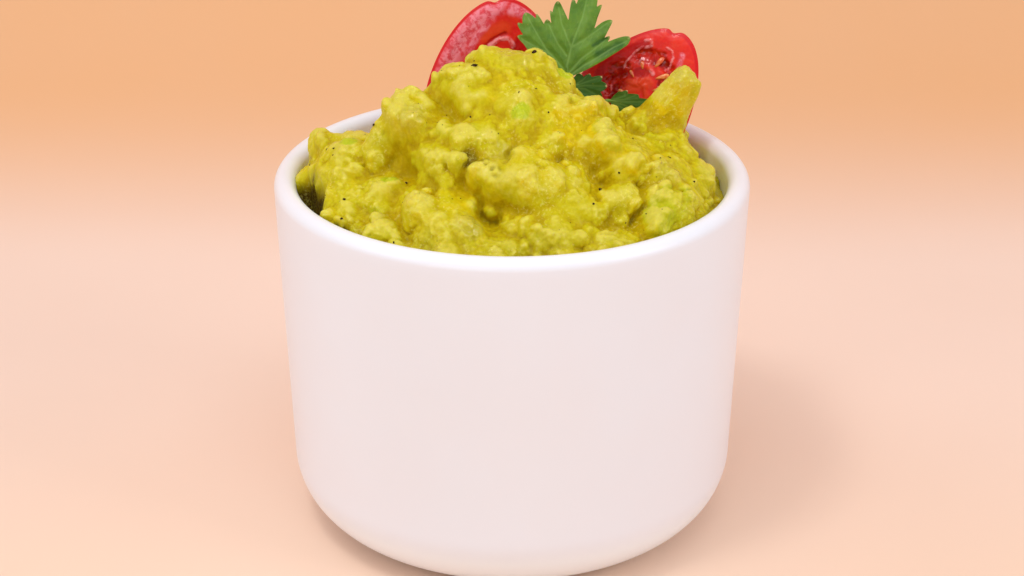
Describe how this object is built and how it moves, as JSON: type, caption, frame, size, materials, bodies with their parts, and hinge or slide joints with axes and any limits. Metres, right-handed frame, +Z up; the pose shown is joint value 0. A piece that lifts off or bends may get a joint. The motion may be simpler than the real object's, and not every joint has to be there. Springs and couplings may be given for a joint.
{
  "type": "guacamole",
  "caption": "Chunky guacamole heaped in a small straight-sided white ceramic dip bowl, garnished with cut plum tomato halves and a flat-leaf parsley sprig.",
  "frame": {"origin": "centre of the bowl's foot, on the surface that the bowl stands on", "axes": "+Z is up through the bowl, -Y is the front that the cut tomato faces look over, +X is to the right seen from the front"},
  "size_m": [0.09, 0.09, 0.1006],
  "materials": {
    "white_glaze": "smooth white ceramic glaze, satin gloss",
    "avocado_mash": "moist yellow-green mashed avocado with pepper flecks",
    "tomato_flesh": "wet red tomato flesh and glossy skin",
    "parsley_leaf": "fresh green leaf with pale veins"
  },
  "bodies": {
    "root": {"bowl": "white_glaze", "guacamole": "avocado_mash", "tomato_half_left": "tomato_flesh", "tomato_half_right": "tomato_flesh", "parsley_sprig": "parsley_leaf"}
  },
  "joints": []
}
